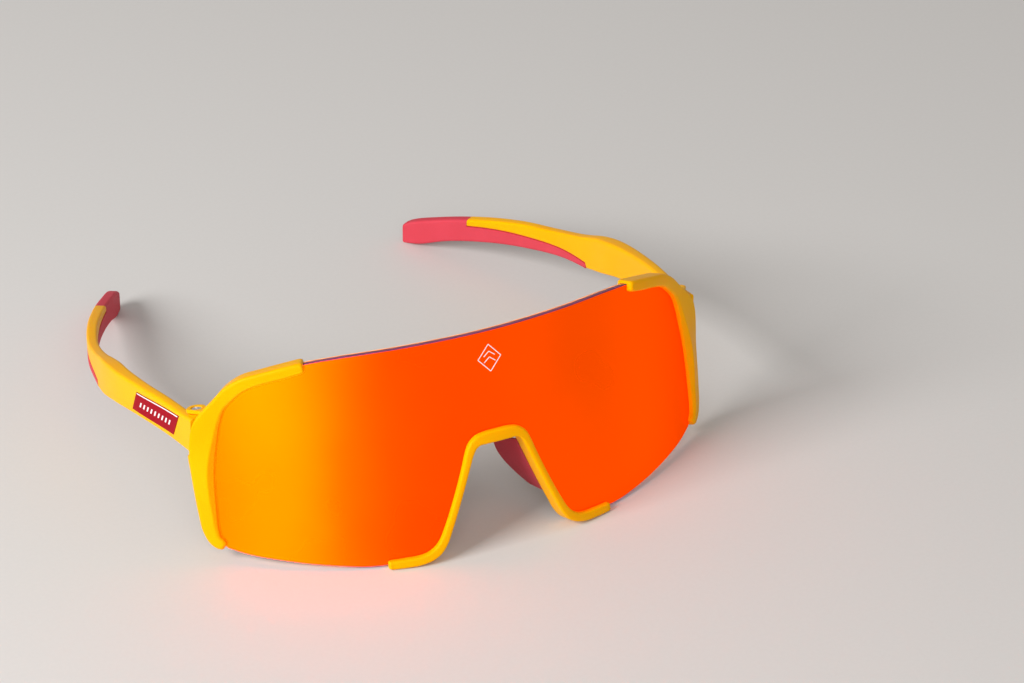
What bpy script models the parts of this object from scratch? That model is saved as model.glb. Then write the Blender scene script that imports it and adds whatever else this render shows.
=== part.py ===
"""Wraparound sport sunglasses: a one-piece shield lens held by two side rims and a nose rim.

The origin is under the middle of the glasses, on the surface that they stand on. +X is the
viewer's right when the lens faces the viewer, +Y runs back along the temples, and +Z is up.
Whatever comes in pairs is modelled on the right and mirrored to the left. The front pieces are
drawn on the lens: s is the arc across it from the middle, h is the height up it from mid-height,
and depth is measured behind its front face.
"""

import math

import bmesh
import bpy
import numpy as np
from mathutils import Matrix, Vector

MM = 0.001
GAP = 0.3 * MM              # clearance between plastic pieces that touch
FINE_GAP = 0.1 * MM         # clearance round the small hinge hardware
FRONT_Y = -71.55 * MM       # the lens's front, at mid-height

# Lens: part of a cylinder that leans back
LENS_RADIUS = 100.0 * MM
LENS_LEAN = math.radians(12.7)
LENS_THICKNESS = 2.0 * MM
LENS_MIDDLE_Z = 28.7 * MM
LENS_STRIP = 4.0 * MM       # width of the flat strips that make up the curve

# Side rims and nose rim
RIM_PROUD = 1.6 * MM        # how far a rim's front lip stands off the lens
RIM_PROUD_AT_HINGE = 2.8 * MM
RIM_PROUD_AT_BEVEL = 2.2 * MM
RIM_BEVEL = (0.45 * MM, 1.4 * MM)       # width of the side rim's bevel at its ends and middle
RIM_INNER_LIP = (1.2 * MM, 0.8 * MM)    # height of the bevel's low edge at its ends and middle
RIM_REAR = 3.2 * MM         # depth of a rim's rear face
RIM_ROUND = 0.7 * MM

# Hinges: the axis leans back with the lens
HINGE_X = 66.8 * MM
HINGE_BACK = 29.4 * MM      # behind the lens's front
HINGE_Z = 33.8 * MM
CREASE_BACK = 27.0 * MM     # where the temple's end meets the rim
TOP_LUG = (4.0 * MM, 5.0 * MM)
TOP_LUG_RADIUS = 2.6 * MM
TOP_LUG_ROOT = [(-2.3 * MM, -3.6 * MM), (0.3 * MM, -3.4 * MM)]   # its end inside the rim (x, y)
LOW_LUG = (-4.7 * MM, -2.9 * MM)
LOW_LUG_RADIUS = 2.0 * MM
LOW_LUG_ROOT = [(0.0, -3.2 * MM), (1.0 * MM, -3.0 * MM)]
TEMPLE_ROOM = (-6.6 * MM, 3.85 * MM)    # what the temple's end needs along the axis
BARREL = (-2.6 * MM, 3.7 * MM)
BARREL_RADIUS = 2.0 * MM
SCREW_RADIUS = 0.7 * MM
SCREW_HEAD_RADIUS = 1.3 * MM
SCREW_HEAD = 0.5 * MM
INSERT_RADIUS = 1.2 * MM
INSERT_LENGTH = 1.6 * MM

# Temples, by distance behind the lens's front
TEMPLE_ROUND = 0.7 * MM
STEP_BACK = 86.3 * MM       # end of the temple's deep front part
BORDER_BACK = 129.5 * MM    # end of the hard temple's outer skin
TANG_END_BACK = 144.5 * MM
TIP_BACK = 148.6 * MM
STATION = 4.5 * MM

BADGE_THICKNESS = 0.7 * MM
BADGE_PROUD = 0.1 * MM

UP = Vector((0.0, math.sin(LENS_LEAN), math.cos(LENS_LEAN)))
FORWARD = Vector((0.0, -math.cos(LENS_LEAN), math.sin(LENS_LEAN)))
ACROSS = Vector((1.0, 0.0, 0.0))
LENS_AXIS = Vector((0.0, FRONT_Y, LENS_MIDDLE_Z)) - LENS_RADIUS * FORWARD
# The right hinge's frame: x outward, y back across the axis, z up the axis
HINGE = (Matrix.Translation((HINGE_X, FRONT_Y + HINGE_BACK, HINGE_Z))
         @ Matrix((ACROSS, -FORWARD, UP)).transposed().to_4x4())

# Half outlines (s, h) in millimetres, from the middle of the glasses outward
LENS_TOP = [(0.0, 27.9), (22.0, 27.9), (40.0, 27.5), (45.0, 27.1), (51.0, 25.9), (58.0, 24.1),
            (62.5, 22.3), (66.2, 18.8), (69.2, 14.6), (71.2, 10.4), (72.8, 5.5), (74.2, 0.5),
            (74.6, -5.0), (74.3, -11.0), (73.6, -15.5), (72.3, -18.4), (70.3, -20.2)]
LENS_BOTTOM = [(70.3, -20.2), (65.0, -22.0), (57.5, -23.7), (50.0, -25.2), (43.0, -26.4),
               (35.0, -27.5), (30.0, -27.6), (26.0, -27.2)]
NOSE_PATH = [(26.0, -27.2), (22.6, -27.1), (20.2, -26.5), (18.2, -25.4), (16.7, -23.7),
             (15.0, -20.3), (12.6, -14.9), (10.6, -9.9), (8.9, -5.4), (7.7, -2.2), (6.6, -0.3),
             (5.2, 0.6), (3.3, 0.85), (0.0, 0.9)]
# Rim centrelines as (s, h, half width), in millimetres
NOSE_RIM = [(31.0, -27.4, 1.1), (26.0, -27.5, 1.2), (22.6, -27.4, 1.2), (20.2, -26.8, 1.2),
            (18.2, -25.6, 1.2), (16.7, -23.8, 1.1), (15.0, -20.4, 1.0), (12.6, -14.9, 0.95),
            (10.6, -9.9, 0.95), (8.9, -5.4, 1.0), (7.7, -2.2, 1.1), (6.6, -0.3, 1.25),
            (5.2, 0.6, 1.4), (3.3, 0.85, 1.55), (0.0, 0.9, 1.6)]
SIDE_RIM = [(45.8, 26.5, 1.35), (50.6, 25.5, 1.5), (57.0, 24.2, 1.5), (61.5, 22.9, 1.7),
            (65.1, 20.6, 1.9), (67.9, 17.9, 1.9), (70.3, 14.7, 2.7), (72.5, 10.7, 3.6),
            (73.7, 5.6, 3.5), (74.2, 0.0, 3.0), (74.3, -5.0, 2.7), (74.2, -10.5, 2.4),
            (73.9, -15.0, 2.1), (73.0, -17.7, 1.7), (70.8, -19.4, 1.3)]

# Temple profile, in millimetres behind the lens's front: outer face x, thickness, top z, bottom z
TEMPLE_OUTER_X = [(27.0, 69.9), (40.0, 71.0), (55.0, 72.8), (70.0, 73.8), (78.0, 73.4),
                  (88.0, 71.7), (101.0, 69.0), (114.0, 64.3), (127.0, 57.8), (139.0, 50.8),
                  (150.0, 44.6)]
TEMPLE_THICKNESS = [(27.0, 3.0), (55.0, 3.2), (68.0, 3.9), (76.0, 4.1), (86.0, 3.1),
                    (110.0, 2.9), (135.0, 3.2), (150.0, 3.2)]
TEMPLE_TOP_Z = [(27.0, 37.9), (33.0, 36.7), (48.0, 34.5), (65.0, 31.2), (76.5, 28.7),
                (82.5, 26.9), (88.5, 24.5), (101.0, 20.8), (114.0, 18.1), (127.0, 14.6),
                (139.0, 10.4), (147.0, 6.8), (150.0, 4.8)]
TEMPLE_BOTTOM_Z = [(27.0, 28.0), (40.0, 26.4), (55.0, 24.1), (70.0, 20.7), (80.0, 17.6),
                   (86.0, 15.9)]
SLEEVE_BOTTOM_Z = [(86.0, 15.6), (97.0, 14.1), (110.0, 11.6), (124.0, 8.4), (136.0, 4.6),
                   (144.0, 0.9), (148.6, -0.3)]
CORE_BOTTOM_Z = [(86.0, 17.3), (94.0, 17.0), (110.0, 15.2), (124.0, 13.0), (130.0, 11.6)]
TANG_MIDDLE_Z = [(129.5, 12.5), (134.0, 10.4), (139.0, 7.6), (145.0, 4.6)]
TANG_HALF = (0.7 * MM, 1.0 * MM)            # half thickness, half height

# Badge corners on the temple's side: front top, front bottom, rear bottom, rear top (back, z)
BADGE = [(33.4, 35.6), (36.8, 28.5), (58.4, 24.9), (55.6, 31.2)]

# Nose pad: (x, back, z) of its front edge and of its rear edge, top to bottom, in millimetres
PAD_FRONT = [(7.6, 3.4, 24.2), (10.0, 2.3, 18.6), (12.8, 1.3, 12.0), (14.2, 0.9, 8.6)]
PAD_REAR = [(4.6, 12.2, 21.2), (7.5, 13.0, 15.2), (10.9, 11.6, 10.0), (13.4, 8.4, 6.9)]
PAD_THICKNESS = 2.2 * MM
PAD_POST = (0.5 * MM, 1.5 * MM, 3.4 * MM)   # half thickness, half height, reach


def material(name, color, roughness, metallic=0.0):
    """A Principled material."""
    made = bpy.data.materials.new(name)
    made.use_nodes = True
    shader = made.node_tree.nodes["Principled BSDF"]
    shader.inputs["Base Color"].default_value = (*color, 1.0)
    shader.inputs["Roughness"].default_value = roughness
    shader.inputs["Metallic"].default_value = metallic
    made.diffuse_color = (*color, 1.0)
    return made


def smooth(table, x):
    """Value at x of a smooth curve through the (x, value) pairs of a table."""
    xs = np.array([row[0] for row in table])
    ys = np.array([row[1] for row in table])
    slopes = np.gradient(ys, xs)
    x = min(max(x, xs[0]), xs[-1])
    i = min(int(np.searchsorted(xs, x, side="right")) - 1, len(xs) - 2)
    width = xs[i + 1] - xs[i]
    t = (x - xs[i]) / width
    start = (1 + 2 * t) * (1 - t) ** 2 * ys[i] + t * (1 - t) ** 2 * width * slopes[i]
    end = t * t * (3 - 2 * t) * ys[i + 1] + t * t * (t - 1) * width * slopes[i + 1]
    return float(start + end)


def curve_through(points, step):
    """Points about a step apart on a smooth curve through the given rows of numbers."""
    rows = np.array(points, dtype=float)
    chords = np.linalg.norm(np.diff(rows[:, :2], axis=0), axis=1)
    along = np.concatenate([[0.0], np.cumsum(chords)])
    tables = [list(zip(along, rows[:, column])) for column in range(rows.shape[1])]
    stops = []
    for start, end in zip(along[:-1], along[1:]):
        pieces = max(1, round((end - start) / step))
        stops += [start + (end - start) * k / pieces for k in range(pieces)]
    stops.append(along[-1])
    return [tuple(smooth(table, stop) for table in tables) for stop in stops]


def on_lens(s, h, depth):
    """The point at arc s and height h on the lens, at a depth behind its front face."""
    angle = s / LENS_RADIUS
    out = math.sin(angle) * ACROSS + math.cos(angle) * FORWARD
    return LENS_AXIS + (LENS_RADIUS - depth) * out + h * UP


def add_object(name, bm, finish, collection, origin=(0.0, 0.0, 0.0)):
    """Make an object from a bmesh that is in world coordinates, with its origin at a point."""
    bmesh.ops.recalc_face_normals(bm, faces=bm.faces)
    bmesh.ops.translate(bm, verts=bm.verts, vec=-Vector(origin))
    mesh = bpy.data.meshes.new(name)
    bm.to_mesh(mesh)
    bm.free()
    mesh.shade_smooth()
    mesh.set_sharp_from_angle(angle=math.radians(35.0))
    made = bpy.data.objects.new(name, mesh)
    made.location = origin
    collection.objects.link(made)
    if finish:
        mesh.materials.append(finish)
    else:
        hide_cutter(made)
    return made


def hide_cutter(cutter):
    cutter.hide_render = True
    cutter.display_type = "WIRE"


def mirror_to_left(piece, collection):
    """Make the left twin of a finished right piece, as the mirror image of its final mesh."""
    bpy.context.view_layer.update()
    final = piece.evaluated_get(bpy.context.evaluated_depsgraph_get())
    mesh = bpy.data.meshes.new_from_object(final)
    flip = Matrix.Scale(-1.0, 4, ACROSS)
    origin = flip @ piece.location
    mesh.transform(Matrix.Translation(-origin) @ flip @ Matrix.Translation(piece.location))
    mesh.flip_normals()
    twin = bpy.data.objects.new(piece.name.replace("right", "left"), mesh)
    twin.location = origin
    collection.objects.link(twin)
    return twin


def combine(target, other, operation):
    """Add a Boolean modifier to the target."""
    modifier = target.modifiers.new(operation.lower(), "BOOLEAN")
    modifier.operation = operation
    modifier.object = other
    modifier.solver = "EXACT"


def loft(rings):
    """A closed bmesh through rings of points, with a flat cap at each end."""
    bm = bmesh.new()
    loops = [[bm.verts.new(point) for point in ring] for ring in rings]
    count = len(rings[0])
    for first, second in zip(loops[:-1], loops[1:]):
        for k in range(count):
            n = (k + 1) % count
            bm.faces.new((first[k], first[n], second[n], second[k]))
    bm.faces.new(loops[0])
    bm.faces.new(loops[-1])
    bmesh.ops.triangulate(bm, faces=bm.faces)
    return bm


def rounded_section(corners, radius, steps=2):
    """Points round a convex polygon of (u, v) corners, with rounded corners."""
    points = []
    count = len(corners)
    for k in range(count):
        corner = Vector(corners[k])
        before = Vector(corners[k - 1]) - corner
        after = Vector(corners[(k + 1) % count]) - corner
        reach = min(radius, 0.45 * before.length, 0.45 * after.length)
        start = corner + before.normalized() * reach
        end = corner + after.normalized() * reach
        for i in range(steps + 1):
            t = i / steps
            points.append((1 - t) ** 2 * start + 2 * t * (1 - t) * corner + t * t * end)
    return points


def hinge_cylinder(radius, low, high, segments=20):
    """A bmesh cylinder round a hinge's axis, between two heights on it."""
    bm = bmesh.new()
    bmesh.ops.create_cone(bm, cap_ends=True, segments=segments, radius1=radius, radius2=radius,
                          depth=high - low,
                          matrix=Matrix.Translation((0.0, 0.0, (low + high) / 2)))
    bmesh.ops.transform(bm, matrix=HINGE, verts=bm.verts)
    return bm


def hinge_box(low, high):
    """A bmesh box in a hinge's frame, from its low corner to its high corner."""
    low = Vector(low)
    high = Vector(high)
    size = high - low
    bm = bmesh.new()
    bmesh.ops.create_cube(bm, size=1.0)
    bmesh.ops.scale(bm, vec=size, verts=bm.verts)
    bmesh.ops.translate(bm, verts=bm.verts, vec=(low + high) / 2)
    bmesh.ops.transform(bm, matrix=HINGE, verts=bm.verts)
    return bm


def world_box(low, high):
    """A bmesh box between two world corners."""
    low = Vector(low)
    high = Vector(high)
    bm = bmesh.new()
    bmesh.ops.create_cube(bm, size=1.0)
    bmesh.ops.scale(bm, vec=high - low, verts=bm.verts)
    bmesh.ops.translate(bm, verts=bm.verts, vec=(low + high) / 2)
    return bm


# ---------------------------------------------------------------- front pieces

def lens_outline(grow):
    """The lens's closed outline in (s, h), in metres, moved outward by grow."""
    half = curve_through(LENS_TOP, 3.5)
    half += curve_through(LENS_BOTTOM, 5.0)[1:]
    half += curve_through(NOSE_PATH, 2.0)[1:]
    right = [Vector(point) * MM for point in half]
    left = [Vector((-point.x, point.y)) for point in reversed(right[1:-1])]
    outline = right + left
    count = len(outline)
    moved = []
    for k in range(count):
        along = (outline[(k + 1) % count] - outline[k - 1]).normalized()
        moved.append(outline[k] + grow * Vector((-along.y, along.x)))
    return moved


def lens_mesh(grow):
    """The lens as strips round its cylinder, thicker and wider all round by grow."""
    bm = bmesh.new()
    edge = [bm.verts.new((point.x, point.y, -grow)) for point in lens_outline(grow)]
    front = bm.faces.new(edge)
    grown = bmesh.ops.extrude_face_region(bm, geom=[front])
    back = [item for item in grown["geom"] if isinstance(item, bmesh.types.BMVert)]
    bmesh.ops.translate(bm, verts=back, vec=(0.0, 0.0, LENS_THICKNESS + 2 * grow))
    reach = 76.0 * MM
    strips = round(2 * reach / LENS_STRIP)
    for k in range(strips + 1):
        place = -reach + k * LENS_STRIP
        everything = bm.verts[:] + bm.edges[:] + bm.faces[:]
        bmesh.ops.bisect_plane(bm, geom=everything, dist=1e-6, plane_co=(place, 0.0, 0.0),
                               plane_no=(1.0, 0.0, 0.0))
    bmesh.ops.triangulate(bm, faces=bm.faces)
    for vert in bm.verts:
        vert.co = on_lens(*vert.co)
    return bm


def rim_mesh(path, corners):
    """A rim lofted along a path of (s, h, half width) on the lens; corners gives its section."""
    rows = [(s * MM, h * MM, w * MM) for s, h, w in path]
    rings = []
    for k, (s, h, w) in enumerate(rows):
        before = rows[max(k - 1, 0)]
        after = rows[min(k + 1, len(rows) - 1)]
        along = Vector((after[0] - before[0], after[1] - before[1])).normalized()
        outward = Vector((-along.y, along.x))
        section = rounded_section(corners(h, w), RIM_ROUND)
        rings.append([on_lens(s + outward.x * u, h + outward.y * u, v)
                      for u, v in section])
    return loft(rings)


def side_rim_corners(h, w):
    """Section of a side rim: it swells before the hinge and is bevelled beside the lens."""
    swell = math.exp(-((h - 11.0 * MM) / (6.5 * MM)) ** 2)
    outer = RIM_PROUD + (RIM_PROUD_AT_HINGE - RIM_PROUD) * swell
    share = math.exp(-(h / (12.0 * MM)) ** 2)
    inner = RIM_PROUD + (RIM_PROUD_AT_BEVEL - RIM_PROUD) * share
    bevel = RIM_BEVEL[0] + (RIM_BEVEL[1] - RIM_BEVEL[0]) * share
    edge = RIM_INNER_LIP[0] + (RIM_INNER_LIP[1] - RIM_INNER_LIP[0]) * share
    return [(-w, -edge), (bevel - w, -inner), (w, -outer), (w, RIM_REAR), (-w, RIM_REAR)]


def nose_rim_corners(_h, w):
    """Section of the nose rim: a plain channel."""
    return [(-w, -RIM_PROUD), (w, -RIM_PROUD), (w, RIM_REAR), (-w, RIM_REAR)]


def make_lens(finish, parts):
    return add_object("lens", lens_mesh(0.0), finish, parts)


def make_lens_slot(cutters):
    return add_object("lens_slot_cutter", lens_mesh(GAP), None, cutters)


def root_room():
    """What the temple's end needs behind the crease, which stands upright."""
    far = 13.0 * MM
    inner = -1.4 * MM
    rings = []
    for height in TEMPLE_ROOM:
        crease = (CREASE_BACK - GAP / 2 - HINGE_BACK - height * UP.y) / UP.z
        outline = [(far, far), (far, crease), (inner, crease), (inner, far)]
        rings.append([HINGE @ Vector((x, y, height)) for x, y in outline])
    return loft(rings)


def turning_room():
    """What the barrel turns in, and the space behind the rim that the temple folds into."""
    socket = BARREL_RADIUS + GAP
    far = 12.0 * MM
    start = -0.6 * MM       # the folded temple stays behind this line
    last = -math.pi + math.asin(-start / socket)
    outline = [(socket * math.cos(angle), socket * math.sin(angle))
               for angle in np.linspace(0.0, last, 12)]
    outline += [(-far, start), (-far, far), (socket, far)]
    return loft([[HINGE @ Vector((x, y, height)) for x, y in outline]
                 for height in (TEMPLE_ROOM[0] + 0.03 * MM, TEMPLE_ROOM[1] - 0.03 * MM)])


def lug_mesh(radius, root, span):
    """A hinge lug: round behind the axis, and narrowing to its root inside the rim."""
    outline = [(radius * math.cos(angle), radius * math.sin(angle))
               for angle in np.linspace(0.0, math.pi, 14)]
    return loft([[HINGE @ Vector((x, y, height)) for x, y in outline + root]
                 for height in span])


def screw_way():
    """Profile of the stepped hole through both lugs, with the seats of the head and insert."""
    top = TOP_LUG[1]
    seat = top - SCREW_HEAD - FINE_GAP
    low = LOW_LUG[0]
    insert = low + INSERT_LENGTH + FINE_GAP
    return [(0.0, top + MM), (SCREW_HEAD_RADIUS + FINE_GAP, top + MM),
            (SCREW_HEAD_RADIUS + FINE_GAP, seat), (SCREW_RADIUS + FINE_GAP, seat),
            (SCREW_RADIUS + FINE_GAP, insert), (INSERT_RADIUS + FINE_GAP, insert),
            (INSERT_RADIUS + FINE_GAP, low - MM), (0.0, low - MM)]


def make_side_rim(finish, parts, cutters, slot):
    """Side rim: a channel round the lens's end, with the two lugs of the hinge."""
    path = curve_through(SIDE_RIM, 3.2)
    rim = add_object("side_rim_right", rim_mesh(path, side_rim_corners), finish, parts)
    combine(rim, slot, "DIFFERENCE")
    for label, bm in (("root_room", root_room()), ("turning_room", turning_room())):
        combine(rim, add_object(label, bm, None, cutters), "DIFFERENCE")
    for label, bm in (("top_lug", lug_mesh(TOP_LUG_RADIUS, TOP_LUG_ROOT, TOP_LUG)),
                      ("low_lug", lug_mesh(LOW_LUG_RADIUS, LOW_LUG_ROOT, LOW_LUG))):
        combine(rim, add_object(label, bm, None, cutters), "UNION")
    combine(rim, make_turned("screw_way", screw_way(), None, cutters), "DIFFERENCE")
    return rim


def pad_stations():
    """Pairs of front and rear edge points down a nose pad."""
    stations = []
    count = 9
    for k in range(count):
        t = k / (count - 1)
        pair = []
        for table in (PAD_FRONT, PAD_REAR):
            values = [smooth([(row[2], row[axis]) for row in reversed(table)],
                             table[0][2] + t * (table[-1][2] - table[0][2])) for axis in (0, 1)]
            height = table[0][2] + t * (table[-1][2] - table[0][2])
            pair.append(Vector((values[0] * MM, FRONT_Y + values[1] * MM, height * MM)))
        stations.append(pair)
    return stations


def post_frame():
    """Matrix of a nose pad's post: x across the pad, y back along it, z up it."""
    front, rear = pad_stations()[4]
    above = pad_stations()[3][0]
    back = (rear - front).normalized()
    up = (above - front).normalized()
    across = back.cross(up).normalized()
    up = across.cross(back).normalized()
    turn = Matrix((across, back, up)).transposed()
    return Matrix.Translation(front) @ turn.to_4x4()


def post_mesh(grow):
    """The post that carries a nose pad, from the nose rim into the pad."""
    half_thickness, half_height, reach = PAD_POST
    bm = bmesh.new()
    bmesh.ops.create_cube(bm, size=1.0)
    low_y = -1.2 * MM
    high_y = reach + grow
    size = (2 * (half_thickness + grow), high_y - low_y, 2 * (half_height + grow))
    bmesh.ops.scale(bm, vec=size, verts=bm.verts)
    bmesh.ops.translate(bm, verts=bm.verts, vec=(0.0, (low_y + high_y) / 2, 0.0))
    bmesh.ops.transform(bm, matrix=post_frame(), verts=bm.verts)
    return bm


def make_nose_rim(finish, parts, cutters, slot, floor):
    """Nose rim: a channel round the nose notch, with a foot under the lens at each end."""
    half = curve_through(NOSE_RIM, 2.0)
    path = [(-s, h, w) for s, h, w in half[:-1]] + [(s, h, w) for s, h, w in reversed(half)]
    rim = add_object("nose_rim", rim_mesh(path, nose_rim_corners), finish, parts)
    post = add_object("pad_post_right", post_mesh(0.0), None, cutters)
    left_post = mirror_to_left(post, cutters)
    hide_cutter(left_post)
    combine(rim, post, "UNION")
    combine(rim, left_post, "UNION")
    combine(rim, slot, "DIFFERENCE")
    combine(rim, floor, "DIFFERENCE")
    return rim


def make_nose_pad(finish, parts, cutters):
    """Nose pad: a soft blade behind the nose rim's leg, with a pocket for its post."""
    rings = []
    stations = pad_stations()
    for k, (front, rear) in enumerate(stations):
        t = k / (len(stations) - 1)
        back = (rear - front).normalized()
        across = back.cross(Vector((0.0, 0.0, 1.0))).normalized()
        end = math.sin(math.pi * min(max(t * 0.84 + 0.08, 0.0), 1.0)) ** 0.5
        half = PAD_THICKNESS / 2 * end
        length = (rear - front).length
        start = 0.5 * MM * (1 - end)
        corners = [(-half, start), (half, start), (half, length * (0.9 + 0.1 * end)),
                   (-half, length * (0.9 + 0.1 * end))]
        section = rounded_section(corners, half * 0.85, 3)
        rings.append([front + across * u + back * v for u, v in section])
    pad = add_object("nose_pad_right", loft(rings), finish, parts)
    pocket = add_object("post_pocket", post_mesh(GAP), None, cutters)
    combine(pad, pocket, "DIFFERENCE")
    return pad


# ---------------------------------------------------------------- hinge hardware

def make_screw(finish, parts):
    """Hinge screw: a shank with a flat head, turned about the hinge's axis."""
    top = TOP_LUG[1] - FINE_GAP / 2
    end = LOW_LUG[0] + 0.3 * MM
    profile = [(0.0, top), (SCREW_HEAD_RADIUS, top), (SCREW_HEAD_RADIUS, top - SCREW_HEAD),
               (SCREW_RADIUS, top - SCREW_HEAD), (SCREW_RADIUS, end), (0.0, end)]
    return make_turned("hinge_screw_right", profile, finish, parts)


def make_insert(finish, parts):
    """Threaded insert: a ring in the lower lug that takes the screw's end."""
    inner = SCREW_RADIUS + FINE_GAP
    low = LOW_LUG[0]
    high = low + INSERT_LENGTH
    profile = [(inner, high), (INSERT_RADIUS, high), (INSERT_RADIUS, low), (inner, low),
               (inner, high)]
    return make_turned("hinge_insert_right", profile, finish, parts)


def make_turned(name, profile, finish, parts):
    """Turn a (radius, height) profile round the hinge's axis."""
    bm = bmesh.new()
    verts = [bm.verts.new((radius, 0.0, height)) for radius, height in profile]
    edges = [bm.edges.new(pair) for pair in zip(verts[:-1], verts[1:])]
    bmesh.ops.spin(bm, geom=verts + edges, cent=(0, 0, 0), axis=(0, 0, 1),
                   angle=2 * math.pi, steps=18, use_merge=True)
    bmesh.ops.remove_doubles(bm, verts=bm.verts, dist=1e-6)
    bmesh.ops.transform(bm, matrix=HINGE, verts=bm.verts)
    return add_object(name, bm, finish, parts, HINGE.translation)


# ---------------------------------------------------------------- temples

def temple_stations(start, end):
    """Distances behind the lens's front at which a temple's sections stand."""
    count = max(2, round((end - start) / STATION) + 1)
    return list(np.linspace(start, end, count))


def temple_ring(back, inset, bottom, radius, top_drop=0.0):
    """A temple section at a distance back: its outer face, thickness, top and bottom."""
    key = back / MM
    outer = smooth(TEMPLE_OUTER_X, key) * MM
    slope = (smooth(TEMPLE_OUTER_X, key + 0.5) - smooth(TEMPLE_OUTER_X, key - 0.5))
    inward = Vector((-1.0, slope, 0.0)).normalized()
    top = smooth(TEMPLE_TOP_Z, key) * MM - top_drop
    thin, thick = inset
    corners = [(thin, top), (thick, top), (thick, bottom), (thin, bottom)]
    section = rounded_section(corners, radius)
    ring = []
    for u, z in section:
        x = outer + inward.x * u
        y = back + inward.y * u
        ring.append(Vector((x, FRONT_Y + y, z)))
    return ring


def thickness_at(back):
    return smooth(TEMPLE_THICKNESS, back / MM) * MM


def temple_core_rings(grow):
    """Rings of the hard temple: deep front part, tapering rear part, then the tang.

    With a grow it is the cutter that shapes the sleeve's top: lower by grow, and well past the
    hard temple's bare sides and top.
    """
    bare = 1.5 * MM if grow else 0.0
    radius = TEMPLE_ROUND if not grow else 0.3 * MM
    rings = []
    if not grow:
        for back in temple_stations(CREASE_BACK + GAP / 2, STEP_BACK - 0.5 * MM):
            bottom = smooth(TEMPLE_BOTTOM_Z, back / MM) * MM
            rings.append(temple_ring(back, (0.0, thickness_at(back)), bottom, radius))
    first = STEP_BACK + 0.2 * MM if not grow else STEP_BACK - 4.0 * MM
    for back in temple_stations(first, BORDER_BACK):
        bottom = smooth(CORE_BOTTOM_Z, back / MM) * MM - grow
        faces = (-bare, thickness_at(back) + bare)
        rings.append(temple_ring(back, faces, bottom, radius, -bare))
    return rings


def tang_rings(grow):
    """Rings of the tang that runs on inside the sleeve's tip."""
    rings = []
    for back in temple_stations(BORDER_BACK - 3.0 * MM, TANG_END_BACK + grow):
        middle = thickness_at(back) / 2 + 0.1 * MM
        top = smooth(TEMPLE_TOP_Z, back / MM) * MM
        height = smooth(TANG_MIDDLE_Z, back / MM) * MM
        half_thickness = TANG_HALF[0] + grow
        half_height = TANG_HALF[1] + grow
        drop = top - height - half_height
        inset = (middle - half_thickness, middle + half_thickness)
        rings.append(temple_ring(back, inset, height - half_height, 0.3 * MM, drop))
    return rings


def make_temple(finish, parts, cutters):
    """Hard temple: barrel of the hinge, deep front part, tapering rear part and tang."""
    temple = add_object("temple_right", loft(temple_core_rings(0.0)), finish, parts,
                        HINGE.translation)
    notch_top = BARREL[0]
    clear = BARREL_RADIUS + GAP
    far = 9.0 * MM
    steps = (
        ("tang", loft(tang_rings(0.0)), "UNION"),
        ("lug_notch", hinge_cylinder(clear, -far, notch_top, 24), "DIFFERENCE"),
        ("lug_notch_web", hinge_box((-far, -far, -far), (clear * 0.99, 0.0, notch_top * 0.99)),
         "DIFFERENCE"),
        ("barrel", hinge_cylinder(BARREL_RADIUS, *BARREL, 24), "UNION"),
        ("barrel_hole", hinge_cylinder(SCREW_RADIUS + FINE_GAP, -far, far), "DIFFERENCE"),
        ("badge_recess", badge_mesh(GAP / 2, BADGE_THICKNESS - BADGE_PROUD + GAP / 2, MM),
         "DIFFERENCE"))
    for label, bm, operation in steps:
        combine(temple, add_object(label, bm, None, cutters), operation)
    return temple


def make_sleeve(finish, parts, cutters, floor):
    """Soft sleeve: a strip under the temple's rear part, then all round the tang."""
    rings = []
    for back in temple_stations(STEP_BACK + GAP, TIP_BACK):
        bottom = smooth(SLEEVE_BOTTOM_Z, back / MM) * MM
        rings.append(temple_ring(back, (0.0, thickness_at(back)), bottom, TEMPLE_ROUND))
    sleeve = add_object("temple_sleeve_right", loft(rings), finish, parts, HINGE.translation)
    for label, room in (("core_room", temple_core_rings(GAP)), ("tang_room", tang_rings(GAP))):
        combine(sleeve, add_object(label, loft(room), None, cutters), "DIFFERENCE")
    combine(sleeve, floor, "DIFFERENCE")
    return sleeve


def badge_mesh(grow, inward, outward):
    """A slanted plate on the temple's outer face, from a depth inward to a height outward."""
    front_top, front_bottom, rear_bottom, rear_top = [Vector(point) * MM for point in BADGE]
    along = (rear_top - front_top).normalized() * grow
    up = (front_top - front_bottom).normalized() * grow
    rings = []
    for t in np.linspace(0.0, 1.0, 7):
        spread = along * (2 * t - 1)
        top = front_top.lerp(rear_top, t) + up + spread
        bottom = front_bottom.lerp(rear_bottom, t) - up + spread
        ring = []
        for point, offset in ((top, -outward), (top, inward), (bottom, inward),
                              (bottom, -outward)):
            x = smooth(TEMPLE_OUTER_X, point.x / MM) * MM - offset
            ring.append(Vector((x, FRONT_Y + point.x, point.y)))
        rings.append(ring)
    return loft(rings)


def make_badge(finish, parts):
    depth = BADGE_THICKNESS - BADGE_PROUD
    return add_object("badge_right", badge_mesh(0.0, depth, BADGE_PROUD), finish, parts,
                      HINGE.translation)


def hang_on_hinge(name, pieces, collection):
    """Parent the moving pieces to an empty that stands on the hinge's axis."""
    empty = bpy.data.objects.new(name, None)
    empty.location = pieces[0].location
    empty.rotation_euler = (-LENS_LEAN, 0.0, 0.0)
    empty.empty_display_size = 10.0 * MM
    collection.objects.link(empty)
    bpy.context.view_layer.update()
    for piece in pieces:
        piece.parent = empty
        piece.matrix_parent_inverse = empty.matrix_world.inverted()


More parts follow.
